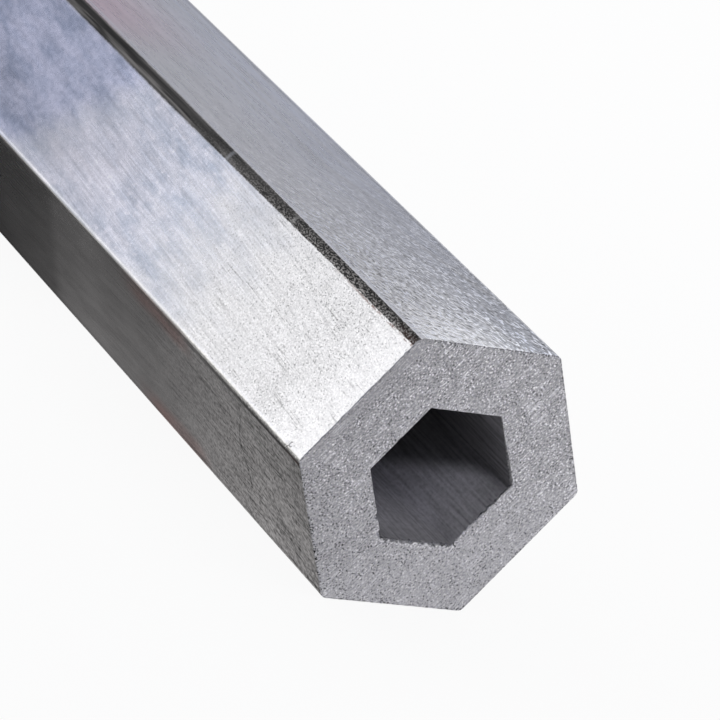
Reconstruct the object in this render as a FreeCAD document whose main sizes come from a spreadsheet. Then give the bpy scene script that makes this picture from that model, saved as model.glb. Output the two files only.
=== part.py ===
import FreeCAD, Part
import math
import os
import Sketcher

# Hexagonal aluminium tube: one extruded length of stock with a hexagonal bore.
# The bore shares the tube's axis and its six walls face the six outer flats.
# The tube lies along X on one flat, and the origin is on that flat, under the middle of the tube.

nodeName = "hex_tube"
sideCount = 6
flatHalfAngle = math.pi / sideCount
flatTopDirection = math.pi / 2

# Driving dimensions in millimetres.
drivingSizes = [
    ("tubeLength", 300.0, "sawn length of the stock"),
    ("outerAcrossFlats", 30.0, "outside, from flat to opposite flat"),
    ("boreAcrossFlats", 15.0, "bore, from wall to opposite wall"),
    ("outerCornerRadius", 0.8, "rounding that the die leaves on each outer corner"),
    ("boreCornerRadius", 0.2, "rounding that the die leaves in each corner of the bore"),
]


def addSizeSheet(doc):
    """Write the driving dimensions to a spreadsheet whose cells the features are bound to."""
    sheet = doc.addObject("Spreadsheet::Sheet", "Sizes")
    for row, (alias, value, meaning) in enumerate(drivingSizes, start=1):
        sheet.set(f"A{row}", alias)
        sheet.set(f"B{row}", str(value))
        sheet.set(f"C{row}", meaning)
        sheet.setAlias(f"B{row}", alias)
    doc.recompute()
    return sheet


def addHexagonSketch(body, name, sheet, acrossFlats):
    """Draw a regular hexagon across the tube's axis, with two level sides.

    The sheet's value named by acrossFlats is the distance between opposite sides.
    """
    sketch = body.newObject("Sketcher::SketchObject", name)
    crossSection = next(f for f in body.Origin.OriginFeatures if f.Role == "YZ_Plane")
    sketch.AttachmentSupport = [(crossSection, "")]
    sketch.MapMode = "FlatFace"

    cornerDistance = sheet.get(acrossFlats) / 2 / math.cos(flatHalfAngle)
    firstCorner = flatTopDirection - flatHalfAngle
    corners = []
    for index in range(sideCount):
        angle = firstCorner + 2 * flatHalfAngle * index
        corner = FreeCAD.Vector(math.cos(angle), math.sin(angle), 0) * cornerDistance
        corners.append(corner)

    sides = []
    for index, corner in enumerate(corners):
        nextCorner = corners[(index + 1) % sideCount]
        sides.append(sketch.addGeometry(Part.LineSegment(corner, nextCorner), False))
    cornerCircle = sketch.addGeometry(
        Part.Circle(FreeCAD.Vector(), FreeCAD.Vector(0, 0, 1), cornerDistance), True
    )

    # A sketch names a line's ends 1 and 2, a circle's centre 3, and its own origin -1, 1.
    for index, side in enumerate(sides):
        nextSide = sides[(index + 1) % sideCount]
        sketch.addConstraint(Sketcher.Constraint("Coincident", side, 2, nextSide, 1))
        sketch.addConstraint(Sketcher.Constraint("PointOnObject", side, 1, cornerCircle))
    for side in sides[1:]:
        sketch.addConstraint(Sketcher.Constraint("Equal", sides[0], side))
    sketch.addConstraint(Sketcher.Constraint("Coincident", cornerCircle, 3, -1, 1))
    topSide, bottomSide = sides[0], sides[sideCount // 2]
    sketch.addConstraint(Sketcher.Constraint("Horizontal", topSide))
    acrossIndex = sketch.addConstraint(
        Sketcher.Constraint("DistanceY", bottomSide, 1, topSide, 2, sheet.get(acrossFlats))
    )
    sketch.renameConstraint(acrossIndex, acrossFlats)
    sketch.setExpression(f"Constraints.{acrossFlats}", f"{sheet.Name}.{acrossFlats}")
    return sketch


def lengthwiseEdges(shape, acrossFlats):
    """Name the edges that run along the tube at the corners of a hexagon of this size."""
    cornerDistance = acrossFlats / 2 / math.cos(flatHalfAngle)
    tolerance = acrossFlats / 1000
    names = []
    for index, edge in enumerate(shape.Edges, start=1):
        start, end = (vertex.Point for vertex in edge.Vertexes)
        alongTube = abs(start.y - end.y) < tolerance and abs(start.z - end.z) < tolerance
        atCorner = abs(math.hypot(start.y, start.z) - cornerDistance) < tolerance
        if alongTube and atCorner:
            names.append(f"Edge{index}")
    if len(names) != sideCount:
        raise RuntimeError(f"found {len(names)} lengthwise edges, not {sideCount}")
    return names


def addLengthwiseFillet(doc, body, name, base, sheet, acrossFlats, radius):
    """Round the lengthwise edges of one hexagon, outer or bore."""
    fillet = body.newObject("PartDesign::Fillet", name)
    fillet.Base = (base, lengthwiseEdges(base.Shape, sheet.get(acrossFlats)))
    fillet.setExpression("Radius", f"{sheet.Name}.{radius}")
    doc.recompute()
    return fillet


def makeHexTube(doc, sheet):
    """Extrude the outer hexagon, cut the bore through it and round both sets of corners."""
    body = doc.addObject("PartDesign::Body", "HexTube")
    body.Label = nodeName

    outerSketch = addHexagonSketch(body, "OuterHexagon", sheet, "outerAcrossFlats")
    bar = body.newObject("PartDesign::Pad", "Bar")
    bar.Profile = outerSketch
    bar.SideType = "Symmetric"
    bar.setExpression("Length", f"{sheet.Name}.tubeLength")
    doc.recompute()
    roundedBar = addLengthwiseFillet(
        doc, body, "OuterCorners", bar, sheet, "outerAcrossFlats", "outerCornerRadius"
    )

    boreSketch = addHexagonSketch(body, "BoreHexagon", sheet, "boreAcrossFlats")
    bore = body.newObject("PartDesign::Pocket", "Bore")
    bore.Profile = boreSketch
    bore.SideType = "Symmetric"
    bore.Type = "ThroughAll"
    doc.recompute()
    checkBoreVolume(roundedBar, bore, boreSketch, sheet)
    addLengthwiseFillet(
        doc, body, "BoreCorners", bore, sheet, "boreAcrossFlats", "boreCornerRadius"
    )

    # The sketches lie round the axis, so half the outer size brings the lowest flat to Z = 0.
    body.setExpression("Placement.Base.z", f"{sheet.Name}.outerAcrossFlats / 2")
    doc.recompute()
    return body


def checkBoreVolume(bar, bore, boreSketch, sheet):
    """Compare what the bore took out of the bar with its section times the tube's length."""
    section = Part.Face(boreSketch.Shape.Wires[0]).Area
    expected = section * sheet.get("tubeLength")
    removed = bar.Shape.Volume - bore.Shape.Volume
    if abs(removed - expected) > expected / 1000:
        raise RuntimeError(f"the bore took out {removed:.1f} mm3, not {expected:.1f} mm3")


def checkDocument(doc, bodies):
    """Stop on any feature that failed and on any solid that isn't whole."""
    for item in doc.Objects:
        faults = [state for state in item.State if state in ("Invalid", "Error")]
        if faults:
            raise RuntimeError(f"{item.Label} is {faults[0]}")
    for body in bodies:
        if body.Shape.isNull() or not body.Shape.isValid() or len(body.Shape.Solids) != 1:
            raise RuntimeError(f"{body.Label} isn't one valid solid")


def exportParts(bodies):
    """Write each body to a STEP file named by its label."""
    os.makedirs("parts", exist_ok=True)
    for body in bodies:
        body.Shape.exportStep(f"parts/{body.Label}.step")
        box = body.Shape.BoundBox
        print(
            f"{body.Label}: {box.XLength:.2f} x {box.YLength:.2f} x {box.ZLength:.2f} mm, "
            f"{body.Shape.Volume:.0f} mm3, lowest point {box.ZMin:.3f} mm"
        )


doc = FreeCAD.newDocument("HexTubeStock")
sizeSheet = addSizeSheet(doc)
tubeBodies = [makeHexTube(doc, sizeSheet)]
checkDocument(doc, tubeBodies)
exportParts(tubeBodies)
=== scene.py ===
import math

import bpy
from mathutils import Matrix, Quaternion, Vector, noise


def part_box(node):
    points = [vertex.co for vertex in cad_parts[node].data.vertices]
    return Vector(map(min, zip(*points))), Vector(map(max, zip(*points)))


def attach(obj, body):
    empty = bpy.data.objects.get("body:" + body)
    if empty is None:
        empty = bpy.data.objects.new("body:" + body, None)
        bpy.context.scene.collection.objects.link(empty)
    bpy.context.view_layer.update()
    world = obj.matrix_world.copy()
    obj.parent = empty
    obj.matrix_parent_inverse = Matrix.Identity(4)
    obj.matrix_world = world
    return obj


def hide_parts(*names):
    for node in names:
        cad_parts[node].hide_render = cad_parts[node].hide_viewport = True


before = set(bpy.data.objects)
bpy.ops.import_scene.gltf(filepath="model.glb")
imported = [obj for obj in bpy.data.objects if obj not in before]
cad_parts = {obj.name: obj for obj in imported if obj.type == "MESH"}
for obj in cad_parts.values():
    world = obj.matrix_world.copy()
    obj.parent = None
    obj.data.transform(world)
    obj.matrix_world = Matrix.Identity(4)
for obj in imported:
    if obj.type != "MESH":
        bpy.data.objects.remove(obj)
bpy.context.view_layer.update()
print("frame loaded")

# One sawn length of hexagonal aluminium tube, lying along X on one of its flats.
# Lengths in the settings are millimetres. Angles go round the tube's axis, from +Y towards +Z.

mm = 0.001
nodeName = "hex_tube"
sides = 6
sideTurn = 2 * math.pi / sides
nearAxis = 0.9  # only the bore's points lie within this share of the way out to a flat

tubeLow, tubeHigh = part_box(nodeName)
axisHeight = (tubeLow.z + tubeHigh.z) / 2
frontEnd = Vector((tubeHigh.x, 0, axisHeight))


def measureBore():
    # half the distance between opposite walls of the bore, read from the CAD tube
    inside = (tubeHigh.z - tubeLow.z) / 2 * nearAxis
    heights = []
    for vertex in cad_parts[nodeName].data.vertices:
        height = abs(vertex.co.z - axisHeight)
        if math.hypot(vertex.co.y, height) < inside:
            heights.append(height)
    return max(heights)


outerHalf = (tubeHigh.z - tubeLow.z) / 2
boreHalf = measureBore()

# Camera

view = {
    "offset": (367.05, -276.57, 171.73),  # from the middle of the end that shows
    "aim": (0.0, -14.71, 11.77),  # the point that it looks at, from the same middle
    "roll": 20.77,  # degrees
    "lens": 240.97,
    "sensor": 36.0,
    "sees": (0.05, 60),  # nearest and furthest, in metres
}


def addCamera():
    data = bpy.data.cameras.new("photoCamera")
    data.lens = view["lens"]
    data.sensor_width = view["sensor"]
    data.clip_start, data.clip_end = view["sees"]
    camera = bpy.data.objects.new("photoCamera", data)
    bpy.context.scene.collection.objects.link(camera)
    camera.location = frontEnd + Vector(view["offset"]) * mm
    looking = (frontEnd + Vector(view["aim"]) * mm - camera.location).normalized()
    camera.rotation_mode = "QUATERNION"
    rolled = Quaternion(looking, math.radians(-view["roll"]))
    camera.rotation_quaternion = rolled @ looking.to_track_quat("-Z", "Y")
    bpy.context.scene.camera = camera


addCamera()
print("camera placed")


# Shader building

class Shade:
    # a node's output that can be used in sums: each sum adds its Math node
    def __init__(self, tree, made=None, output=0):
        self.tree = tree
        self.made = made
        self.socket = made.outputs[output] if made and made.outputs else None

    def add(self, kind, settings=None, inputs=None, output=0):
        made = self.tree.nodes.new(kind)
        for name, value in (settings or {}).items():
            setattr(made, name, value)
        for name, value in (inputs or {}).items():
            if isinstance(value, Shade):
                self.tree.links.new(value.socket, made.inputs[name])
            else:
                made.inputs[name].default_value = value
        return Shade(self.tree, made, output)

    def output(self, name):
        return Shade(self.tree, self.made, name)

    def calculate(self, operation, *values):
        return self.add("ShaderNodeMath", {"operation": operation}, dict(enumerate(values)))

    def vector(self, operation, inputs, output=0):
        return self.add("ShaderNodeVectorMath", {"operation": operation}, inputs, output)

    def __add__(self, other):
        return self.calculate("ADD", self, other)

    def __radd__(self, other):
        return self.calculate("ADD", other, self)

    def __sub__(self, other):
        return self.calculate("SUBTRACT", self, other)

    def __rsub__(self, other):
        return self.calculate("SUBTRACT", other, self)

    def __mul__(self, other):
        return self.calculate("MULTIPLY", self, other)

    def __rmul__(self, other):
        return self.calculate("MULTIPLY", other, self)

    def __abs__(self):
        return self.calculate("ABSOLUTE", self)

    def step(self, low, high):
        # 0 up to low, 1 from high, and smooth between them
        return self.add("ShaderNodeMapRange", {"interpolation_type": "SMOOTHSTEP"},
                        {"Value": self, "From Min": low, "From Max": high})


def mixColours(factor, first, second, blend="MIX"):
    # the Mix node's colour sockets are its seventh and eighth
    shade = factor if isinstance(factor, Shade) else first
    pair = [(*colour, 1) if isinstance(colour, tuple) else colour for colour in (first, second)]
    return shade.add("ShaderNodeMix", {"data_type": "RGBA", "blend_type": blend},
                     {0: factor, 6: pair[0], 7: pair[1]}, 2)


def dim(colour, factor):
    # the colour times a number that changes over the surface
    return factor.vector("SCALE", {0: colour, "Scale": factor})


def newFinish(name):
    material = bpy.data.materials.new(name)
    material.use_nodes = True
    material.node_tree.nodes.clear()
    return material, Shade(material.node_tree)


def placeInMillimetres(shade):
    # millimetres from the middle of the end that shows, so along the tube is minus X
    place = shade.add("ShaderNodeTexCoord").output("Object")
    moved = shade.vector("SUBTRACT", {0: place, 1: frontEnd})
    return shade.vector("SCALE", {0: moved, "Scale": 1 / mm})


def spotted(place, scale, detail, shift):
    # noise with this many spots to a millimetre along each axis
    squeezed = place.vector("MULTIPLY_ADD", {0: place, 1: scale, 2: (shift, shift, shift)})
    return place.add("ShaderNodeTexNoise", {}, {"Vector": squeezed, "Scale": 1.0, "Detail": detail})


def grain(place, size, stretch, detail, shift):
    # noise with spots of this size, drawn out along the tube
    return spotted(place, (1 / size / stretch, 1 / size, 1 / size), detail, shift)


def bent(place, across, shift):
    # the same places moved across a flat, so that the grain there runs aslant
    moved = shift.vector("SCALE", {0: across, "Scale": shift})
    return place.vector("ADD", {0: place, 1: moved})


def finishMetal(material, shade, colour, roughness, height, depth, metallic=1.0):
    # depth is the bump's depth in millimetres
    bump = shade.add("ShaderNodeBump", {}, {"Height": height, "Distance": depth * mm, "Strength": 1.0})
    metal = shade.add("ShaderNodeBsdfPrincipled", {},
                      {"Base Color": colour, "Metallic": metallic, "Roughness": roughness, "Normal": bump})
    shade.add("ShaderNodeOutputMaterial", {}, {"Surface": metal})
    return material


# The tube

tube = {
    "cornerRadii": (0.8, 0.9, 1.2, 0.8, 1.0, 0.8),  # from the corner at +Y, in steps of 60 degrees
    "boreRadius": 0.12,
    "flatSteps": 64, "cornerSteps": 8,
    "crowding": 0.8,  # how much closer the points stand at the ends of a flat
    "firstRing": 0.1, "ringGrowth": 1.5,
    "widestRing": 9.0, "widestFaceRing": 0.55,
    "sawEdge": 0.07,  # broken edge that the saw leaves
    "wave": 0.02,  # how far a flat waves
    "waveSize": (30, 5, 5),
    "smoothBelow": 35,  # degrees
}

marks = {
    # what runs along each corner, from the corner at +Y in steps of 60 degrees: how far its middle lies
    # from the corner, half its width, its strength, and how far it has moved further along the tube
    # a dark band along each corner, widest and darkest on the one at 120 degrees
    "darkBand": ((0, 0.2, 0.4, 0), (0, 0.2, 0.5, 0), (0.44, 0.46, 3.6, 0.07),
                 (0.46, 0.17, 1.0, 0), (0, 0.2, 0.5, 0), (0, 0.2, 0.4, 0)),
    "grainy": ((0, 0.3, 0, 0), (0, 0.3, 0, 0), (0.5, 1.2, 1, 0),
               (0, 0.3, 0, 0), (0, 0.3, 0, 0), (0, 0.3, 0, 0)),
    # painted shade on the rounded shoulders of the corners
    "cornerShade": ((0.62, 0.15, 0.2, 0), (0.64, 0.15, 0.22, 0), (0, 0.1, 0, 0),
                 (0.12, 0.22, 0.52, 0), (-0.66, 0.15, 0.25, 0), (-0.66, 0.15, 0.25, 0)),
    # painted highlight lines along the corners
    "highlightLine": ((-0.35, 0.06, 0.3, 0), (-0.35, 0.06, 0.3, 0), (-0.22, 0.23, 0.85, -0.38),
                   (-0.31, 0.14, 0.68, -0.08), (-0.35, 0.06, 0, 0), (-0.35, 0.06, 0.3, 0)),
    "redStain": ((0, 0.1, 0, 0), (0, 0.1, 0, 0), (1.04, 0.1, 0.9, 0),
                 (0, 0.1, 0, 0), (0, 0.1, 0, 0), (0, 0.1, 0, 0)),
}

nicks = {
    # notches across a corner: the corner's number, place along the tube from the end that shows,
    # half the width along the tube, and depth
    "places": ((3, 3.4, 0.2, 0.06),),
    "spread": 0.9,
    "rings": (-1, -0.5, 0, 0.5, 1),
}

chips = {
    # broken edges at both ends: how far back the edge breaks at most, size of a chip, and how much
    # of the edge stays whole
    "outer": (0.12, 0.3, 0.05),
    "bore": (0.62, 0.5, -0.1),
    "fineSize": 2.6,  # finer breaks on the chips: how many times smaller, and how strong
    "fineShare": 0.25,
    "shifts": (5, 9),  # the two ends chip differently
    "steepness": 1.1,
    "run": 1.5,  # how far in the walls give way behind a chip
    "worst": math.radians(282),  # the bore's edge is worst here
    "least": 0.12,
}


def hexagonLoop(halfAcross, radii):
    # points (y, z) about the axis: each corner's arc, then the flat up to the next corner
    arcs = []
    for corner, radius in enumerate(radii):
        middle = corner * sideTurn
        reach = (halfAcross - radius * mm) / math.cos(sideTurn / 2)
        centre = Vector((math.cos(middle), math.sin(middle))) * reach
        arc = []
        for step in range(tube["cornerSteps"] + 1):
            turn = middle + sideTurn * (step / tube["cornerSteps"] - 0.5)
            arc.append(centre + Vector((math.cos(turn), math.sin(turn))) * radius * mm)
        arcs.append(arc)
    loop = []
    for corner, arc in enumerate(arcs):
        loop += arc
        following = arcs[(corner + 1) % sides][0]
        for step in range(1, tube["flatSteps"]):
            share = step / tube["flatSteps"]
            share -= tube["crowding"] * math.sin(2 * math.pi * share) / (2 * math.pi)
            loop.append(arc[-1].lerp(following, share))
    return loop


def gradedSteps(span, widest):
    # distances from 0 to span, close together near both ends
    near = [0.0]
    step = tube["firstRing"]
    while near[-1] + step < span / 2:
        near.append(near[-1] + step)
        step = min(step * tube["ringGrowth"], widest)
    return near + [span - distance for distance in reversed(near)]


def tubeRings():
    # rings round the tube in one closed loop: along the outside, in over the front end, back through
    # the bore and out over the back end, each as (x, share of the way from the outside to the bore, zone)
    length = (tubeHigh.x - tubeLow.x) / mm
    edge = tube["sawEdge"]
    wall = (outerHalf - boreHalf) / mm
    along = [edge + distance for distance in gradedSteps(length - 2 * edge, tube["widestRing"])]
    steps = gradedSteps(wall - 2 * edge, tube["widestFaceRing"])
    across = [(edge + distance) / wall for distance in steps]
    notched = [length - place + halfWidth * share
               for _, place, halfWidth, _ in nicks["places"] for share in nicks["rings"]]
    rings = [(tubeLow.x + x * mm, 0.0, "outside") for x in sorted(along + notched)]
    rings += [(tubeHigh.x, share, "sawn") for share in across]
    rings += [(tubeHigh.x - x * mm, 1.0, "bore") for x in along]
    rings += [(tubeLow.x, share, "sawn") for share in reversed(across)]
    return rings


def nickDepth(x, y, z):
    deepest = 0.0
    for corner, place, halfWidth, depth in nicks["places"]:
        away = abs(tubeHigh.x - x - place * mm) / (halfWidth * mm)
        reach = outerHalf / math.cos(sideTurn / 2)
        turn = corner * sideTurn
        aside = math.hypot(y - reach * math.cos(turn), z - reach * math.sin(turn))
        aside /= nicks["spread"] * mm
        if away < 1 and aside < 1:
            deepest = max(deepest, depth * mm * (1 - away) * (1 - aside ** 2))
    return deepest


def chipReach(edge, point, end):
    # how far the edge at this point round the section is broken back
    most, size, whole = chips[edge]
    if edge == "bore":
        towardsWorst = max(0.0, math.cos(math.atan2(point.y, point.x) - chips["worst"]))
        most *= chips["least"] + (1 - chips["least"]) * math.sqrt(towardsWorst)
    spot = Vector((point.x, point.y, 0)) / mm / size
    shift, fineShift = [Vector((0, 0, end * shift)) for shift in chips["shifts"]]
    rough = noise.noise(spot + shift, noise_basis="BLENDER")
    fine = noise.noise(spot * chips["fineSize"] + fineShift, noise_basis="BLENDER")
    return most * mm * max(0.0, rough + fine * chips["fineShare"] - whole)


def chipDepth(reach, distance):
    return chips["steepness"] * max(0.0, reach - distance)


def ringPoint(ring, outer, bore):
    x, share, zone = ring
    y, z = outer.lerp(bore, share)
    end = 1 if x > 0 else -1
    fromEnd = tubeHigh.x - x if end > 0 else x - tubeLow.x
    if zone == "sawn":
        wall = outerHalf - boreHalf
        depth = max(chipDepth(chipReach("outer", outer, end), share * wall),
                    chipDepth(chipReach("bore", bore, end), (1 - share) * wall))
    else:
        edge, point = ("outer", outer) if zone == "outside" else ("bore", bore)
        fading = max(0.0, 1 - fromEnd / (chips["run"] * mm))
        depth = chips["steepness"] * chipReach(edge, point, end) * fading
    x -= end * depth
    if zone == "outside":
        # slow waves and nicks, only ever inwards, so that the flats catch the light unevenly
        spot = [value / mm / size for value, size in zip((x, y, z), tube["waveSize"])]
        wave = noise.noise(Vector(spot)) * 0.5 + 0.5
        inward = 1 - (wave * tube["wave"] * mm + nickDepth(x, y, z)) / outerHalf
        y, z = y * inward, z * inward
    return Vector((x, y, z + axisHeight))


def buildTube():
    outerLoop = hexagonLoop(outerHalf, tube["cornerRadii"])
    boreLoop = hexagonLoop(boreHalf, [tube["boreRadius"]] * sides)
    rings = tubeRings()
    points = []
    for ring in rings:
        points += [ringPoint(ring, outer, bore) for outer, bore in zip(outerLoop, boreLoop)]
    count = len(outerLoop)
    faces = []
    zones = []
    finishes = {"outside": 0, "sawn": 1, "bore": 2}
    for number, ring in enumerate(rings):
        following = (number + 1) % len(rings)
        zone = ring[2] if ring[2] == rings[following][2] else "sawn"
        for index in range(count):
            beside = (index + 1) % count
            faces.append((number * count + index, number * count + beside,
                          following * count + beside, following * count + index))
            zones.append(finishes[zone])
    mesh = bpy.data.meshes.new("hexTube")
    mesh.from_pydata(points, [], faces)
    for polygon, zone in zip(mesh.polygons, zones):
        polygon.material_index = zone
        polygon.use_smooth = True
    mesh.set_sharp_from_angle(angle=math.radians(tube["smoothBelow"]))
    addMarks(mesh, count, len(rings))
    return bpy.data.objects.new("hexTubeStock", mesh)


def addMarks(mesh, count, rings):
    # for the finish: every point knows the marks of its nearest corner
    perSide = count // sides
    shift = tube["flatSteps"] // 2
    for name, corners in marks.items():
        values = []
        for index in range(count):
            values += corners[(index + shift) // perSide % sides]
        mesh.attributes.new(name, "FLOAT_COLOR", "POINT").data.foreach_set("color", values * rings)


# Finishes

# A pattern is the size of its spots, their stretch along the tube, detail and shift, and the two noise
# values between which it goes from nothing to full. A reach is the two places between which something goes
# from nothing to full, and a pair of reaches is its start and its end. Places along the tube are negative,
# from the end that shows. What stands under tone is how much each pattern lightens or darkens the metal.

skin = {
    "pale": (0.92, 0.904, 0.876),  # the pitted flats near the end, pale as painted reflection
    "farReflection": (0.812, 0.806, 0.858),  # and further off, with bluer patches, as painted reflection
    "blueReflection": (0.55, 0.588, 0.664),
    "darkReflection": (0.845, 0.865, 0.965),  # tint of a painted dark reflection that lies over parts of them
    "patch": (0.875, 0.845, 0.885),
    "dull": (0.76, 0.745, 0.725),  # the streaked top flat, from the dark band to the far edge, where painted shade makes it darker and bluer
    "shaded": (0.55, 0.565, 0.61),
    # a pink painted reflection on the top flat further off
    "rosyReflection": (0.76, 0.585, 0.62),
    "lower": (0.6, 0.59, 0.585),  # the flats that face down, darker as painted shade
    "redSmear": (0.62, 0.4, 0.37),
    # colour of the painted highlight lines along the corners
    "highlightLineColour": (0.9, 0.89, 0.9),
    "band": (0.035, 0.034, 0.033), "bandGrain": (0.36, 0.345, 0.33),
    "stain": (0.22, 0.135, 0.11), "brown": (0.075, 0.046, 0.04),
    "kindEdge": 0.02,  # how softly one kind of flat gives way to the next
    "levelEdge": 1,
    "roughness": 0.27, "rougherRelief": 0.12, "rougherBand": 0.3,
    "bandRelief": 3, "bump": 0.006,
}

pittedFlat = {
    "across": (0, 0.5, 0.866),  # up the flat, and how far the grain runs that way
    "slant": 0.06,
    "clouds": (2.4, 3.5, 3, 5.0), "cloudy": (0.38, 0.6),
    "drift": 22,  # how far the clouds move the places where the metal changes
    "nearEnd": (-50, -22),
    "blotches": (1.2, 3.0, 2, 15.0, 0.36, 0.64),
    "spots": (0.6, 1.6, 1, 17.0, 0.58, 0.78), "spotReach": (-72, -60),
    "curds": (0.6, 1.5, 1, 95.0, 0.34, 0.66),
    "reflectionPatches": {"clouds": 0.42, "blotches": 0.44, "curds": 0.16, "spots": 0.55},
    "darkReflectionSlant": 0.8,  # the painted dark reflection starts further off towards the lower edge
    "darkReflectionDrift": 0.25, "darkReflectionStart": (-78, -71), "darkReflectionEnd": (-147, -123),
    "faded": (14, 2.5, 2, 29.0, 0.5, 0.58),  # what is left of the painted dark reflection beyond its end
    "fadedReach": (-165, -135), "fadedShare": 0.7,
    "patchAt": (-61, 5),  # along the tube and up the flat
    "patchReach": ((2, 12), (1, 8)), "patchLeast": 0.4, "patchShare": 0.6,
    "crowd": (1.9, 1.6, 2, 21.0),  # where mottle and pits lie close together
    "crowding": 0.11, "crowdReach": (2, 15), "crowdingUp": 0.03,
    "leastWorn": 0.03, "wearAndShade": (0.8, 0.2), "wornReach": (-24, -8),
    "cleanReach": (-9, -1), "clean": 0.38,
    "mottle": (0.18, 1.5, 3, 1.0, 0.34, 0.66),
    "pits": (0.18, 1.5, 1, 81.0, 0.61, 0.7),
    "groups": (1.3, 5, 1, 41.0, 0.56, 0.68),  # the scores lie in groups
    "groupShare": (0.35, 0.65),
    "scores": (0.15, 34, 1, 3.0, 0.54, 0.64),
    "threads": (0.2, 30, 1, 63.0), "threadReach": ((-74, -58), (-26, -14)),
    "dots": (0.24, 1.0, 0, 73.0, 0.6, 0.7), "dotReach": ((-70, -62), (-46, -36)),
    "middle": (-76, -60),
    "streaks": (0.34, 16, 2, 9.0, 0.35, 0.65),
    "broad": (0.9, 16, 2, 19.0, 0.3, 0.7),
    "lowSideReach": ((-96, -84), (-70, -58)),  # a dark streak low on the flat
    "lowSideUp": ((1.0, 2.2), (3.2, 7)), "lowSideFade": (-84, -76),
    "lowSideLoss": 0.5, "lowSideStreaks": (0.7, 0.6),
    "dimReach": ((-46, -34), (-11, -4)), "dimUp": (2, 10),
    "tone": {
        "base": 1.02,
        # everywhere, then what is added in the middle stretch and under the painted dark reflection
        "streaks": (0.05, 0.03, 0), "broad": (0.03, 0.08, 0.06),
        "curds": (0.03, 0.04, 0.06), "clouds": (0, 0.16, 0.36),
        "nearEnd": 0.045, "mottle": 0.26, "pits": 0.4, "scores": 0.26, "lowSide": 0.28,
        "threads": 0.44, "dots": 0.11, "dim": 0.035, "dimLow": 0.03,
    },
    "relief": {"mottle": 0.6, "scores": 0.4},
}

streakedFlat = {
    "across": (0, -1, 0),
    "slant": 0.25, "slantTo": -44,
    "turnFrom": -10,  # beside the band the grain turns further, from here to the end
    "turn": 0.035, "turnSide": (-6, 7),
    "veryNear": (-48, 2), "atCut": (-10, 0),
    "fading": (-8, 8),  # across the flat, from the band to the far edge
    "farSide": (0, 7),
    "streaks": (0.38, 8, 2, 51.0, 0.32, 0.68),
    "broad": (0.95, 22, 2, 57.0, 0.25, 0.75),
    "fine": (0.3, 1.8, 0, 67.0, 0.3, 0.7),
    "crowd": (1.6, 2.6, 2, 21.0), "crowding": 0.13,
    "wornFading": 0.3,
    "faint": (0.015, 0.06),  # how strongly dashes and specks show far off, and nearer
    "faintReach": (-64, -50),
    "strong": 0.92,
    "dashes": (0.27, 2.2, 0, 31.0, 0.59, 0.66),
    "specks": (0.27, 1.8, 0, 71.0, 0.6, 0.67),
    "cutBandSide": (-5, 8), "cutFarSide": (0, 6),
    "farOff": (-62, -45),
    "edgeSpots": (0.45, 1.0, 2, 33.0, 0.45, 0.55), "edgeReach": (-0.35, -0.12),
    "bluer": (0.35, 0.5), "bluerReach": (-16, -1), "bluerAtCut": 0.3,
    "rosyReach": ((-120, -100), (-84, -66)), "rosySide": (-7, 6), "rosyShare": 0.9,
    "tone": {
        "base": 0.9,
        # far off, then what is added near the end
        "streaks": (0.06, 0.08), "broad": (0.11, -0.05), "fine": (0.03, 0.5), "dashes": (1.25, 0.5),
        "broadFading": 0.09, "specks": 0.5, "wearAndShade": 0.09,
        "level": (1.11, -0.04), "fadingNear": 0.28, "farSideNear": 0.14,
        "cutBandSide": 0.47, "cutFarSide": 0.07, "farOff": 0.15, "edgeSpots": 0.5,
    },
    "relief": {"streaks": 0.3, "dashes": 0.6},
}

shadedFlat = {
    "across": (0, -0.5, 0.866),
    "slantTo": -40,
    "slant": (0.4, 0.006),  # the grain runs steeper near the end
    "farSlant": 0.1,
    "veryNear": (-46, -6),
    "lines": (0.27, 34, 0, 77.0, 0.58, 0.66), "lineShare": (0.3, 0.7),
    "fibres": (0.29, 6, 0, 51.0, 0.32, 0.68),
    "streaks": (0.7, 22, 2, 61.0, 0.34, 0.66),
    "speckle": (0.29, 1.2, 0, 67.0, 0.32, 0.68),
    "clouds": (2.6, 3.0, 3, 87.0, 0.32, 0.68),
    "specks": (0.28, 1.5, 0, 93.0, 0.61, 0.68), "speckShare": (0.08, 0.92),
    "raggedEnd": (-1.2, 0), "raggedAtEnd": 0.08,
    "raggedAt": 1.0, "raggedReach": (0.1, 1.2), "ragged": 0.04,
    "upperReach": (-12, 0), "cutReach": (-14, 0), "cutUpper": (-12, -3),
    "dimReach": ((-56, -46), (-34, -22)),
    "farOff": (-74, -64), "lowest": (-14, -8),
    "sheenSlant": 0.25,  # a painted sheen, a paler stretch, starts along a slanting line
    "sheenStart": (-64.6, -61.4), "sheenEnd": (-56, -40), "beforeSheen": (-72, -66),
    "smearReach": ((-46, -38), (-31, -25)), "smearWidth": (1.2, 3.0), "smearShare": (0.65, 0.35),
    "tone": {
        "base": (1.02, 0.05),
        # far off, then what is added near the end
        "streaks": (0.08, 0.04), "fibres": (0.05, 0.34), "speckle": (0.05, 0.76),
        "clouds": 0.2, "lines": 0.34, "specks": 0.26, "scratch": 0.5,
        "level": 1.04, "upper": 0.12, "cut": (0.04, 0.12), "dim": 0.11, "lowest": 0.24,
        "sheen": 0.3, "beforeSheen": 0.08,
    },
    "fibreRelief": 0.5,
}

scratch = {
    # a thin scratch across the lower flat
    "at": 15.3,
    "sway": 0.6, "swayRate": 0.8,
    "top": -1.5, "bottom": -10.2, "fade": 0.5,
    "width": (0.07, 0.24),
}

curl = {
    # the mark of a curled fibre by the corner
    "place": (-2.65, -17.02, 0.5),
    "radius": 0.26, "width": 0.05, "open": (0.12, 0.22),
    "tailWidth": (0.07, 0.14), "tailReach": ((-1.15, -1.05), (-0.35, -0.25)),
    "darkness": 0.6,
}

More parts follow.
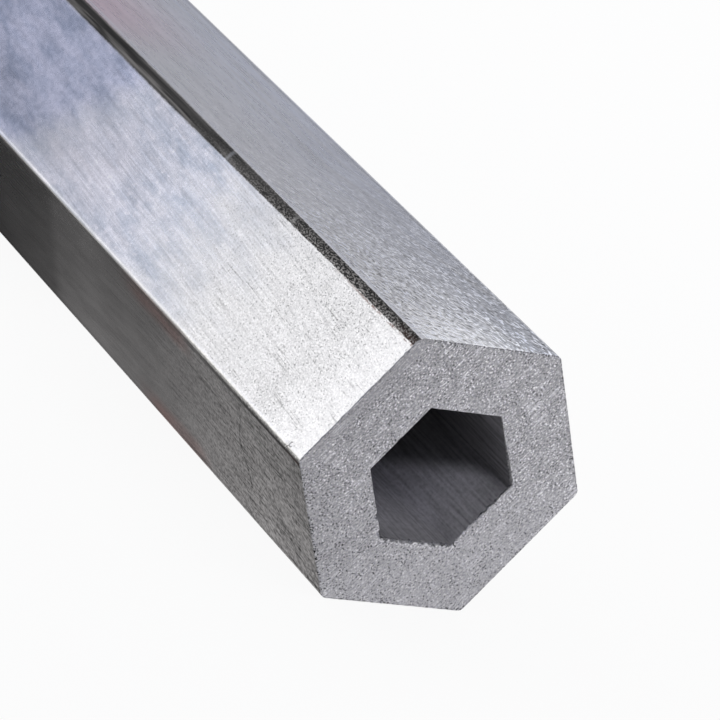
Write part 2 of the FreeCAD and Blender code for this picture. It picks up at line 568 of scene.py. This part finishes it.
cornerLine = {
    # the marks along the corners are crisp near the end and softer further off
    "far": (-62, -14), "farther": (-62, -44),
    "soft": (0.05, 0.15),
    "rag": (0.16, 3, 2, 13.0), "ragged": 0.2,
    "brightFar": 0.45,
    "patchy": (0.3, 2.5, 2, 27.0, 0.42, 0.58),
    "stainSoft": 0.08, "stainReach": (-22, -6),
    "widening": {"far": 0.27, "farther": 0.18, "fromCut": 0.16},
    "cutWidth": (-30, -6),
    "bandFar": 0.45, "bandNear": (0.58, 0.42), "bandReach": (-32, 2),
    "crisp": (0.15, 1.9, 0, 7.0, 0.4, 0.72),
    "blurred": (0.28, 26, 1, 37.0, 0.25, 0.75), "blurredShare": 0.6,
    "grooveAt": 0.33, "grooveReach": (0.08, 0.45), "groove": (0.12, 0.66),
    "grainySoft": 0.1,
    "level": 0.9,
    "paleReach": (-32, -16), "paleSide": (0.2, 0.9), "pale": (0.03, 0.36),
    "brownReach": (-6, -0.5), "brownSide": (-0.1, 0.8), "brown": (0.85, -0.75),
    "gaps": (-43.7, -28.0),  # where the band is rubbed through
    "gapReach": (0.1, 0.5), "gapShare": 0.22,
}


def pattern(place, kind, crowd=None):
    # a mask of this pattern, with more of it where crowd is higher
    size, stretch, detail, shift, low, high = kind
    spots = grain(place, size, stretch, detail, shift)
    return (spots if crowd is None else spots + crowd).step(low, high)


def patterns(place, flat, *names):
    return [pattern(place, flat[name]) for name in names]


def within(value, start, end):
    # 1 between its start and its end
    return value.step(*start) * (1 - value.step(*end))


def around(value, middle, reach):
    # 1 at the middle, and 0 beyond the reach on either side
    return 1 - abs(value - middle).step(*reach)


def growing(pair, mask):
    # the first number, and the second one more where the mask is 1
    return pair[0] + mask * pair[1]


def newSurface(name):
    # a new material, and where a point lies: its place, along the tube, sideways and up
    material, shade = newFinish(name)
    place = placeInMillimetres(shade)
    axes = shade.add("ShaderNodeSeparateXYZ", {}, {0: place})
    return material, shade, place, axes.output("X"), axes.output("Y"), axes.output("Z")


def cornerPlaces(shade, sideways, up):
    # the signed distance from the nearest corner's middle, and which kind of flat lies there
    angle = shade.calculate("ARCTAN2", up, sideways)
    folded = shade.calculate("WRAP", angle, sideTurn / 2, -sideTurn / 2)
    reach = shade.calculate("SQRT", sideways * sideways + up * up)
    fromCorner = reach * shade.calculate("SINE", folded)
    pitted = shade.calculate("SINE", angle * (sides / 2)).step(-skin["kindEdge"], skin["kindEdge"])
    return fromCorner, pitted


def cornerMark(fromCorner, name, soft, far=0.0, ragged=0.0, widening=1.0):
    # how strongly this mark of the nearest corner shows here
    mark = fromCorner.add("ShaderNodeAttribute", {"attribute_name": name})
    parts = fromCorner.add("ShaderNodeSeparateXYZ", {}, {0: mark})
    middle = parts.output("X") + mark.output("Alpha") * far
    beyond = abs(fromCorner - middle) - parts.output("Y") * widening + ragged
    return (1 - beyond.step(0 - soft, soft)) * parts.output("Z")


def pittedMetal(place, along, up):
    # pale metal with soft mottle and pits near the end, and cloudy, smoother metal further off; the change
    # from pale to hazier, bluer and darker along the tube is painted reflection
    flat = pittedFlat
    place = bent(place, flat["across"], along * flat["slant"])
    clouds = grain(place, *flat["clouds"])
    drift = (clouds - 0.5) * flat["drift"]
    nearEnd = (along + drift).step(*flat["nearEnd"])
    blotches, spots, curds = patterns(place, flat, "blotches", "spots", "curds")
    spots *= along.step(*flat["spotReach"])
    reflectionPatches = clouds.step(*flat["cloudy"]) * flat["reflectionPatches"]["clouds"] + blotches * flat["reflectionPatches"]["blotches"]
    reflectionPatches = reflectionPatches + curds * flat["reflectionPatches"]["curds"] + spots * flat["reflectionPatches"]["spots"]

    # painted dark reflection over the far part of the flat, starting along a slanting line
    slanted = along - up * flat["darkReflectionSlant"]
    darkReflection = 1 - (slanted + drift * flat["darkReflectionDrift"]).step(*flat["darkReflectionStart"])
    darkReflection *= (along + drift).step(*flat["darkReflectionEnd"])
    faded = pattern(place, flat["faded"]) * (1 - along.step(*flat["fadedReach"]))
    darkReflection += faded * flat["fadedShare"]
    # painted reflection: the colour runs from pale near the end to hazier and bluer further off, darker and
    # bluer again where the dark reflection lies
    farMetal = mixColours(reflectionPatches, skin["blueReflection"], skin["farReflection"])
    farMetal = mixColours(darkReflection, farMetal, mixColours(1.0, farMetal, skin["darkReflection"], "MULTIPLY"))
    patch = around(along, flat["patchAt"][0], flat["patchReach"][0])
    patch *= around(up, flat["patchAt"][1], flat["patchReach"][1]) * (flat["patchLeast"] + clouds)
    farMetal = mixColours(patch * flat["patchShare"], farMetal, skin["patch"])
    metal = mixColours(nearEnd, farMetal, skin["pale"])

    crowd = (grain(place, *flat["crowd"]) - 0.5) * flat["crowding"]
    crowd += up.step(*flat["crowdReach"]) * flat["crowdingUp"]
    wearAndShade = nearEnd * growing(flat["wearAndShade"], along.step(*flat["wornReach"]))
    wearAndShade = flat["leastWorn"] + wearAndShade * (1 - along.step(*flat["cleanReach"]) * flat["clean"])
    mottle = pattern(place, flat["mottle"], crowd) * wearAndShade
    pits = pattern(place, flat["pits"], crowd) * wearAndShade
    groups = pattern(place, flat["groups"]) * growing(flat["groupShare"], nearEnd)
    scores = pattern(place, flat["scores"]) * groups
    threads = (grain(place, *flat["threads"]) - 0.5) * within(along, *flat["threadReach"])
    dots = pattern(place, flat["dots"]) * within(along, *flat["dotReach"])
    streaks, broad = patterns(place, flat, "streaks", "broad")
    lowSide = within(along, *flat["lowSideReach"]) * within(up, *flat["lowSideUp"])
    lowSide *= 1 - along.step(*flat["lowSideFade"]) * flat["lowSideLoss"]
    lowSide *= growing(flat["lowSideStreaks"], streaks)
    middle = along.step(*flat["middle"]) * (1 - nearEnd)

    by = flat["tone"]
    tone = by["base"]
    for name, drawn in (("streaks", streaks), ("broad", broad), ("curds", curds), ("clouds", clouds)):
        everywhere, inMiddle, inDarkReflection = by[name]
        tone += (drawn - 0.5) * (everywhere + middle * inMiddle + darkReflection * inDarkReflection)
    tone = tone + nearEnd * by["nearEnd"] - mottle * by["mottle"] - pits * by["pits"]
    tone = tone - scores * by["scores"] - lowSide * by["lowSide"]
    tone = tone + threads * by["threads"] + dots * by["dots"]
    dimmer = within(along, *flat["dimReach"])
    tone *= 1 - dimmer * by["dim"] - dimmer * (1 - up.step(*flat["dimUp"])) * by["dimLow"]
    return dim(metal, tone), pits + mottle * flat["relief"]["mottle"] + scores * flat["relief"]["scores"]


def streakedMetal(place, along, sideways):
    # duller metal, drawn out in streaks, with short bright dashes near the end; painted shade darkens it
    # towards its far edge and a painted reflection tints it rosy further off
    flat = streakedFlat
    veryNear = along.step(*flat["veryNear"])
    atCut = along.step(*flat["atCut"])
    fading = sideways.step(*flat["fading"])
    farSide = sideways.step(*flat["farSide"])
    turning = along.calculate("MAXIMUM", along - flat["turnFrom"], 0)
    turned = turning * turning * (1 - sideways.step(*flat["turnSide"])) * flat["turn"]
    slanting = along.calculate("MAXIMUM", along, flat["slantTo"]) * flat["slant"]
    place = bent(place, flat["across"], slanting + turned)
    streaks, broad, fine = patterns(place, flat, "streaks", "broad", "fine")
    crowd = (grain(place, *flat["crowd"]) - 0.5) * flat["crowding"]
    wearAndShade = veryNear * (1 - fading * flat["wornFading"])
    shown = growing(flat["faint"], along.step(*flat["faintReach"])) + wearAndShade * flat["strong"]
    dashes = pattern(place, flat["dashes"], crowd) * shown
    specks = pattern(place, flat["specks"], 0 - crowd) * shown

    by = flat["tone"]
    tone = by["base"] + (streaks - 0.5) * growing(by["streaks"], veryNear)
    tone += (broad - 0.5) * (growing(by["broad"], veryNear) + fading * by["broadFading"])
    tone = tone + (fine - 0.5) * growing(by["fine"], veryNear) + dashes * growing(by["dashes"], atCut)
    tone = tone - specks * by["specks"] - wearAndShade * by["wearAndShade"]
    level = growing(by["level"], veryNear)
    tone *= level - fading * veryNear * by["fadingNear"] - farSide * veryNear * by["farSideNear"]
    byBand = atCut * (1 - sideways.step(*flat["cutBandSide"])) * by["cutBandSide"]
    tone *= 1 + byBand - atCut * sideways.step(*flat["cutFarSide"]) * by["cutFarSide"]
    tone *= 1 + (1 - along.step(*flat["farOff"])) * fading * by["farOff"]
    tone += along.step(*flat["edgeReach"]) * pattern(place, flat["edgeSpots"]) * by["edgeSpots"]

    # painted shade, darker and bluer towards the far edge, then a painted rosy reflection
    bluer = fading * growing(flat["bluer"], broad)
    bluer += along.step(*flat["bluerReach"]) * farSide * flat["bluerAtCut"]
    metal = mixColours(bluer, skin["dull"], skin["shaded"])
    rosyReflection = within(along, *flat["rosyReach"]) * (1 - sideways.step(*flat["rosySide"]))
    metal = mixColours(rosyReflection * flat["rosyShare"], metal, skin["rosyReflection"])
    return dim(metal, tone), specks + streaks * flat["relief"]["streaks"] - dashes * flat["relief"]["dashes"]


def shadedMetal(place, along, fromCorner, up):
    # the flats that face down: finely streaked, with dark lines and one long scratch; their darker colour,
    # and how it darkens further off and low down, is painted shade
    flat = shadedFlat
    veryNear = along.step(*flat["veryNear"])
    lines = pattern(place, flat["lines"]) * growing(flat["lineShare"], veryNear)
    recent = along.calculate("MAXIMUM", along, flat["slantTo"])
    slanting = recent * growing(flat["slant"], recent) + (recent - along) * flat["farSlant"]
    place = bent(place, flat["across"], slanting)
    fibres, streaks, speckle, clouds = patterns(place, flat, "fibres", "streaks", "speckle", "clouds")
    ragged = around(fromCorner, flat["raggedAt"], flat["raggedReach"]) * veryNear * flat["ragged"]
    ragged += along.step(*flat["raggedEnd"]) * flat["raggedAtEnd"]
    specks = pattern(place, flat["specks"], ragged) * growing(flat["speckShare"], veryNear)
    scratched = scratchMark(along, up)

    by = flat["tone"]
    tone = growing(by["base"], veryNear) + (streaks - 0.5) * growing(by["streaks"], veryNear)
    tone += (fibres - 0.5) * growing(by["fibres"], veryNear)
    tone = tone + (speckle - 0.5) * growing(by["speckle"], veryNear) + (clouds - 0.5) * by["clouds"]
    tone = tone - lines * by["lines"] - specks * by["specks"] - scratched * by["scratch"]
    cut = along.step(*flat["cutReach"]) * growing(by["cut"], up.step(*flat["cutUpper"]))
    tone *= by["level"] - veryNear * up.step(*flat["upperReach"]) * by["upper"] - cut
    tone *= 1 - within(along, *flat["dimReach"]) * by["dim"]
    farOff = 1 - along.step(*flat["farOff"])
    tone *= 1 - farOff * (1 - up.step(*flat["lowest"])) * by["lowest"]
    # painted sheen: a paler stretch beyond a slanting line, darker just before it
    sheen = (along - up * flat["sheenSlant"]).step(*flat["sheenStart"])
    tone *= 1 + sheen * (1 - along.step(*flat["sheenEnd"])) * by["sheen"]
    tone *= 1 - along.step(*flat["beforeSheen"]) * (1 - sheen) * by["beforeSheen"]

    smear = within(along, *flat["smearReach"]) * around(fromCorner, 0, flat["smearWidth"])
    metal = mixColours(smear * growing(flat["smearShare"], clouds), skin["lower"], skin["redSmear"])
    return dim(metal, tone), lines + specks + scratched - fibres * flat["fibreRelief"]


def scratchMark(along, up):
    top, bottom, fade = scratch["top"], scratch["bottom"], scratch["fade"]
    swayed = along + scratch["at"] + up.calculate("SINE", up * scratch["swayRate"]) * scratch["sway"]
    return around(swayed, 0, scratch["width"]) * within(up, (bottom - fade, bottom), (top, top + fade))


def fibreMark(place, along, up):
    width = curl["width"]
    away = place.vector("DISTANCE", {0: place, 1: curl["place"]}, "Value")
    onward = (along - curl["place"][0]) + (up - curl["place"][2])
    athwart = (along - curl["place"][0]) - (up - curl["place"][2])
    loop = around(away, curl["radius"], (width, width * 2)) * (1 - onward.step(*curl["open"]))
    tail = around(athwart, 0, curl["tailWidth"]) * within(onward, *curl["tailReach"])
    return along.calculate("MAXIMUM", loop, tail)


def cornerLines(metal, place, along, fromCorner):
    # the painted shade on the corners' shoulders, painted highlight lines, the stain and the dark band that
    # run along the corners
    line = cornerLine
    far = 1 - along.step(*line["far"])
    farther = 1 - along.step(*line["farther"])
    soft = growing(line["soft"], far)
    ragged = (grain(place, *line["rag"]) - 0.5) * line["ragged"]
    # painted shade on the corners' shoulders, then painted highlight lines
    metal = dim(metal, 1 - cornerMark(fromCorner, "cornerShade", soft))
    highlight = cornerMark(fromCorner, "highlightLine", soft, far) * (1 - far * line["brightFar"])
    metal = mixColours(highlight, metal, skin["highlightLineColour"])
    stained = cornerMark(fromCorner, "redStain", line["stainSoft"], far, ragged)
    stained *= along.step(*line["stainReach"]) * pattern(place, line["patchy"])
    metal = mixColours(stained, metal, skin["stain"])

    fromCut = 1 - along.step(*line["cutWidth"])
    by = line["widening"]
    wider = 1 + far * by["far"] + farther * by["farther"] + fromCut * by["fromCut"]
    band = cornerMark(fromCorner, "darkBand", soft, far, ragged, wider) * (1 - far * line["bandFar"])
    band *= growing(line["bandNear"], along.step(*line["bandReach"]))
    band = band.calculate("MINIMUM", band, 1.0)
    crisp = pattern(place, line["crisp"])
    blurred = pattern(place, line["blurred"]) * line["blurredShare"]
    groove = around(fromCorner, line["grooveAt"], line["grooveReach"])
    grains = (crisp + far * (blurred - crisp)) * (1 - groove * growing(line["groove"], far))
    grains *= cornerMark(fromCorner, "grainy", line["grainySoft"])
    bandMetal = mixColours(grains, skin["band"], skin["bandGrain"])
    paler = along.step(*line["paleReach"]) * growing(line["pale"], fromCorner.step(*line["paleSide"]))
    bandMetal = dim(bandMetal, line["level"] + paler)
    brown = along.step(*line["brownReach"]) * fromCorner.step(*line["brownSide"])
    bandMetal = mixColours(brown * growing(line["brown"], grains), bandMetal, skin["brown"])
    gaps = [around(along, spot, line["gapReach"]) for spot in line["gaps"]]
    rubbedAndLightFade = along.calculate("MAXIMUM", *gaps) * line["gapShare"]
    return mixColours(band * (1 - rubbedAndLightFade), metal, bandMetal), band, grains


def outsideFinish():
    material, shade, place, along, sideways, up = newSurface("millFlats")
    fromCorner, pitted = cornerPlaces(shade, sideways, up)
    lower = 1 - up.step(-skin["levelEdge"], skin["levelEdge"])

    pale, paleDepth = pittedMetal(place, along, up)
    dull, dullDepth = streakedMetal(place, along, sideways)
    shaded, shadedDepth = shadedMetal(place, along, fromCorner, up)
    # the flats that face down take darker colours: painted shade
    metal = mixColours(pitted, mixColours(lower, dull, shaded), pale)
    depth = dullDepth + lower * (shadedDepth - dullDepth)
    depth += pitted * (paleDepth - depth)

    metal, band, grains = cornerLines(metal, place, along, fromCorner)
    metal = dim(metal, 1 - fibreMark(place, along, up) * curl["darkness"])
    roughness = skin["roughness"] + depth * skin["rougherRelief"] + band * skin["rougherBand"]
    height = grains * band * skin["bandRelief"] - depth
    return finishMetal(material, shade, metal, roughness, height, skin["bump"])


sawn = {
    "dark": (0.4, 0.396, 0.436),
    "light": (0.466, 0.46, 0.474),
    "entryTurn": sideTurn * 2.5,  # the flat where the saw came in
    "strokeTurn": math.radians(58),  # which way its strokes run
    # drawn out along the strokes: length, width, detail, shift and noise values
    "body": (0.36, 0.12, 1, 4.0, 0.32, 0.68),
    "pits": (0.22, 0.17, 0, 2.0, 0.65, 0.72),
    "flecks": (0.22, 0.14, 0, 14.0, 0.63, 0.7),
    "strokes": (2.6, 0.13, 0, 24.0, 0.58, 0.66),
    "lines": (5.0, 0.14, 1, 84.0, 0.34, 0.66),
    "crowd": (1.1, 1, 2, 8.0), "crowding": 0.42,
    "pitCrowd": (1.4, 1, 2, 54.0), "pitCrowding": 0.36,
    "clusters": (1.7, 1, 2, 64.0, 0.38, 0.6),
    "bundles": (2.2, 1, 1, 44.0, 0.44, 0.56),
    "broad": (2.2, 1, 2, 34.0),
    "strip": (0.9, 1.8),  # a smoother strip along that flat
    "stripShare": (0.4, 0.6),
    "high": (-10, 3), "low": (-4, 1),
    "lowRight": (4, 12), "lowRightLean": 0.6,
    "left": (-13, -4), "nearFlat": (2, 9),
    "raggedFrom": (0.4, 0.05),  # from the outside inwards
    "ragged": 0.12,
    "rim": (0.45, 0.8),
    "chipReach": (0.2, 0.9), "chipped": 0.2,
    "highFlecks": 0.01,
    "speckle": {
        # on the whole face, then what is added high on it
        "body": (0.38, 0.14), "pits": (1.02, -0.25), "flecks": (0.62, 0.54),
        "clusters": (0.8, 0.28), "lowRight": 0.26,
    },
    "tone": {
        "base": (0.9, 0.04), "broad": 0.06, "lines": 0.2, "strokes": (0.26, 0.3),
        "level": 0.965, "lowRight": 0.12, "nearFlat": 0.09, "left": 0.05,
    },
    "roughness": 0.48, "smootherFlecks": 0.08, "rougherPits": 0.15,
    "relief": 0.5, "bump": 0.02,
}

lip = {
    # the sawn face is darker along the bore's lip, on its right wall and its lowest one, as painted shade of
    # an edge broken back into shadow: the place round the axis, its reach, and how wide the dark edge is
    "rightWall": (0, (0.44, 0.6), 0.13),
    "rightCorner": (-sideTurn / 2, (0.1, 0.9), 0.2),
    "lowestWall": (-sideTurn * 2, (0.38, 0.62), 0.32),
    "lowCorner": (-sideTurn * 2.5, (0.05, 0.5), 0.12),
    "uneven": (0.5, 1, 1, 48.0), "unevenShare": (0.3, 0.9),
    "soft": (0, 0.08),
    "darkness": (0.72, -0.2),
}


def sawnFinish():
    material, shade, place, _, sideways, up = newSurface("sawnEnds")
    entry = Vector((math.cos(sawn["entryTurn"]), math.sin(sawn["entryTurn"])))
    fromFlat = outerHalf / mm - (sideways * entry.x + up * entry.y)
    turned = shade.add("ShaderNodeVectorRotate", {"rotation_type": "X_AXIS"},
                       {"Vector": place, "Angle": -sawn["strokeTurn"]})

    def drawn(name, crowd=None):
        # a pattern drawn out along the saw's strokes
        length, width, detail, shift, low, high = sawn[name]
        spots = spotted(turned, (1 / width, 1 / length, 1 / width), detail, shift)
        return (spots if crowd is None else spots + crowd).step(low, high)

    # how far a point lies from the bore and from the outside, and which wall it lies beside
    angle = shade.calculate("ARCTAN2", up, sideways) - sideTurn / 2
    folded = shade.calculate("WRAP", angle, sideTurn / 2, -sideTurn / 2)
    flatPlace = shade.add("ShaderNodeCombineXYZ", {}, {1: sideways, 2: up})
    reach = shade.vector("LENGTH", {0: flatPlace}, "Value")
    fromAxis = reach * shade.calculate("COSINE", folded)
    fromBore = fromAxis - boreHalf / mm
    low = 1 - up.step(*sawn["low"])
    high = up.step(*sawn["high"])
    lowRight = (sideways * sawn["lowRightLean"] - up).step(*sawn["lowRight"])
    onLeft = 1 - sideways.step(*sawn["left"])
    edges = [outerHalf / mm - inwards for inwards in sawn["raggedFrom"]]

    # the lower edge of the bore is chipped, with painted glints on its chips, and the edge along the lower
    # flat is ragged
    chipped = (1 - fromBore.step(*sawn["rim"])) * low
    chipped *= around(angle, lip["lowestWall"][0], sawn["chipReach"]) * sawn["chipped"]
    crowd = (grain(place, *sawn["crowd"]) - 0.5) * sawn["crowding"]
    pitCrowd = (grain(place, *sawn["pitCrowd"]) - 0.5) * sawn["pitCrowding"]
    # painted glints: the bright flecks stand in for sparkle off the sawn facets; the dark pits are the
    # face's own
    body = drawn("body")
    pits = drawn("pits", pitCrowd + fromAxis.step(*edges) * sawn["ragged"])
    flecks = drawn("flecks", crowd + chipped + high * sawn["highFlecks"])
    strokes = drawn("strokes") * pattern(place, sawn["bundles"])
    rough = growing(sawn["stripShare"], fromFlat.step(*sawn["strip"]))

    by = sawn["speckle"]
    speckle = (body - 0.5) * growing(by["body"], high) - pits * growing(by["pits"], high)
    speckle += flecks * growing(by["flecks"], high)
    clusters = growing(by["clusters"], pattern(place, sawn["clusters"]))
    speckle *= clusters - lowRight * by["lowRight"]
    by = sawn["tone"]
    tone = growing(by["base"], high) + grain(place, *sawn["broad"]) * by["broad"] + rough * speckle
    tone = tone + (drawn("lines") - 0.5) * by["lines"] + strokes * growing(by["strokes"], high)
    nearFlat = 1 - fromFlat.step(*sawn["nearFlat"])
    tone *= by["level"] + lowRight * by["lowRight"] - nearFlat * by["nearFlat"] - onLeft * by["left"]

    # painted shade along the bore's lip, where its edge breaks back
    lowestWall = around(angle, *lip["lowestWall"][:2])
    wearAndShade = lowestWall * lip["lowestWall"][2]
    for wall in ("rightWall", "rightCorner", "lowCorner"):
        turn, turnReach, width = lip[wall]
        wearAndShade += around(angle, turn, turnReach) * width
    uneven = (grain(place, *lip["uneven"]) - 0.5) * growing(lip["unevenShare"], lowestWall) * low
    onLip = (wearAndShade + uneven - fromBore).step(*lip["soft"])
    tone *= 1 - onLip * growing(lip["darkness"], lowestWall)

    metal = dim(mixColours(body, sawn["dark"], sawn["light"]), tone)
    height = (flecks * sawn["relief"] - pits + body * sawn["relief"]) * rough + strokes * sawn["relief"]
    roughness = sawn["roughness"] - flecks * sawn["smootherFlecks"] + pits * sawn["rougherPits"]
    return finishMetal(material, shade, metal, roughness, height, sawn["bump"])


bore = {
    "metal": (0.36, 0.3515, 0.374), "metallic": 0.25,
    "roughness": 0.65, "bump": 0.01,
    "lines": (0.3, 30, 2, 6.0),
    "mottle": (0.35, 1.5, 3, 16.0),
    "clouds": (2.5, 2, 2, 26.0),
    "plainWalls": {"level": 0.5, "lines": 2.0, "mottle": 0.8, "base": -0.35},  # tone of all the walls, beneath the painted light
    "litWalls": {"level": 1.62, "lines": 0.5, "mottle": 0.8, "clouds": 0.3, "base": 0.2},
    "mouth": 0.26,  # share of the painted light right at the mouth, where it is weaker
    "rubbedAndLightFade": (-1, 9.0),
    "lightDepth": 3.2,  # how far in the painted light on the lower walls starts to fade, at mid height
    "lightSlope": 2.0, "lightFade": (-2.5, 2.5),
    "lightTop": (-1.4, 0.3), "lightSink": 0.08,
    "right": (4.5, 6.5), "rightUp": (-5, 0), "rightShade": 0.35,
}


def boreFinish():
    # painted light: a grey pool on the lower walls near the mouth, dark walls above and further in
    material, shade, place, along, sideways, up = newSurface("boreWalls")
    depth = 0 - along
    lines, mottle, clouds = [grain(place, *bore[name]) for name in ("lines", "mottle", "clouds")]
    # painted light: its pool fades further in and higher up, and is weaker right at the mouth
    deep = (depth + up * bore["lightSlope"] - bore["lightDepth"]).step(*bore["lightFade"])
    paintedLight = (1 - deep) * (1 - (up + depth * bore["lightSink"]).step(*bore["lightTop"]))
    rubbedAndLightFade = bore["mouth"] + depth.step(*bore["rubbedAndLightFade"]) * (1 - bore["mouth"])
    by = bore["plainWalls"]
    plainWalls = (lines * by["lines"] + mottle * by["mottle"] + by["base"]) * by["level"]
    by = bore["litWalls"]
    litTone = (lines * by["lines"] + mottle * by["mottle"] + clouds * by["clouds"] + by["base"]) * by["level"]
    # painted shade: the upper right wall is darker
    right = sideways.step(*bore["right"]) * up.step(*bore["rightUp"])
    tone = plainWalls * (1 - right * bore["rightShade"]) + paintedLight * rubbedAndLightFade * litTone
    metal = dim(bore["metal"], tone)
    return finishMetal(material, shade, metal, bore["roughness"], mottle, bore["bump"], bore["metallic"])


tubePiece = buildTube()
for material in (outsideFinish(), sawnFinish(), boreFinish()):
    tubePiece.data.materials.append(material)
bpy.context.scene.collection.objects.link(tubePiece)
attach(tubePiece, "root")
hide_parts(nodeName)
triangles = sum(len(polygon.vertices) - 2 for polygon in tubePiece.data.polygons)
print(f"tube built: {triangles} triangles")

# Floor and lights

studio = {
    "floorColour": (0.93, 0.93, 0.93),
    "floorWhite": 0.92,  # how far the floor that the camera and the metal see is lifted to white
    "floorSize": 60000,
    "floorHeight": -0.01,
    "horizon": (1.0, 1.0, 1.0),
    "wall": (0.37, 0.385, 0.455),
    "ceiling": (0.82, 0.82, 0.82),
    "horizonTop": 0.1,  # heights on a sky that runs from -1 to 1
    "wallBottom": 0.18, "wallTop": 0.5,
    "ceilingBottom": 0.85,
}

panels = {
    # middle from the end that shows, the way it faces, width, height and brightness
    "keyPanel": ((-172, -150, 90), (0, 0.88, -0.47), 146, 180, 0.87),
    "fillPanel": ((-155, 200, 140), (0, -0.86, -0.5), 220, 150, 1.0),
}

cards = {
    # painted shade: dark cards beside the tube, standing in for the shaded floor under it, that only its
    # metal mirrors
    "reach": 20,  # how far they go outwards, and beyond the far end
    "height": 0.02,
    "nearReach": (-105, 10),
    "nearTone": (0.345, 0.338, 0.34),
    "farTone": (0.036, 0.036, 0.037),
}


def seenDirectly(shade):
    # 1 for what the camera, the metal or glass sees, and 0 for the light that the floor gives off
    rays = shade.add("ShaderNodeLightPath")
    seen = rays.output("Is Camera Ray")
    for kind in ("Is Glossy Ray", "Is Transmission Ray"):
        seen = shade.calculate("MAXIMUM", seen, rays.output(kind))
    return seen


def flatPlate(name, low, high, height):
    mesh = bpy.data.meshes.new(name)
    corners = [(low[0], low[1], height), (high[0], low[1], height),
               (high[0], high[1], height), (low[0], high[1], height)]
    mesh.from_pydata(corners, [], [(0, 1, 2, 3)])
    plate = bpy.data.objects.new(name, mesh)
    bpy.context.scene.collection.objects.link(plate)
    return plate


def addFloor():
    size = studio["floorSize"] * mm / 2
    floor = flatPlate("paleFloor", (-size, -size), (size, size), studio["floorHeight"] * mm)
    material, shade = newFinish("paleFloor")
    matt = shade.add("ShaderNodeBsdfDiffuse", {}, {"Color": (*studio["floorColour"], 1)})
    white = shade.add("ShaderNodeEmission", {}, {"Strength": 1.0})
    lifted = shade.add("ShaderNodeMixShader", {},
                       {0: seenDirectly(shade) * studio["floorWhite"], 1: matt, 2: white})
    shade.add("ShaderNodeOutputMaterial", {}, {"Surface": lifted})
    floor.data.materials.append(material)


def addCards():
    # painted shade: the flats that face down mirror these instead of the shaded floor beneath them
    material, shade = newFinish("paintedShadeCard")
    place = placeInMillimetres(shade)
    along = shade.add("ShaderNodeSeparateXYZ", {}, {0: place}).output("X")
    near = along.step(*cards["nearReach"])
    grey = mixColours(near, cards["farTone"], cards["nearTone"])
    glow = shade.add("ShaderNodeEmission", {}, {"Color": grey, "Strength": 1.0})
    shade.add("ShaderNodeOutputMaterial", {}, {"Surface": glow})
    foot = outerHalf * math.tan(sideTurn / 2)
    for side in (-1, 1):
        edges = sorted((side * foot, side * (foot + cards["reach"] * mm)))
        low = (tubeLow.x - cards["reach"] * mm, edges[0])
        card = flatPlate(f"paintedShadeCard{side}", low, (tubeHigh.x, edges[1]), cards["height"] * mm)
        card.data.materials.append(material)
        card.visible_camera = False
        card.visible_diffuse = False
        card.visible_shadow = False


def addSky():
    # a plain studio all round: white at the horizon, grey walls, light overhead
    world = bpy.data.worlds.new("studio")
    bpy.context.scene.world = world
    world.use_nodes = True
    world.node_tree.nodes.clear()
    shade = Shade(world.node_tree)
    direction = shade.add("ShaderNodeTexCoord").output("Generated")
    rise = shade.add("ShaderNodeSeparateXYZ", {}, {0: direction}).output("Z")
    aboveHorizon = rise.step(studio["horizonTop"], studio["wallBottom"])
    overhead = rise.step(studio["wallTop"], studio["ceilingBottom"])
    sky = mixColours(aboveHorizon, studio["horizon"], studio["wall"])
    sky = mixColours(overhead, sky, studio["ceiling"])
    light = shade.add("ShaderNodeBackground", {}, {"Color": sky, "Strength": 1.0})
    shade.add("ShaderNodeOutputWorld", {}, {"Surface": light})


def addPanels():
    for name, (middle, facing, width, height, brightness) in panels.items():
        data = bpy.data.lights.new(name, "AREA")
        data.shape = "RECTANGLE"
        data.size = width * mm
        data.size_y = height * mm
        data.energy = brightness * math.pi * data.size * data.size_y
        panel = bpy.data.objects.new(name, data)
        panel.location = frontEnd + Vector(middle) * mm
        panel.rotation_mode = "QUATERNION"
        panel.rotation_quaternion = Vector(facing).to_track_quat("-Z", "Y")
        panel.visible_camera = False
        bpy.context.scene.collection.objects.link(panel)


addFloor()
addCards()
addSky()
addPanels()
bpy.context.scene.view_settings.view_transform = "Standard"
print("floor and lights placed")
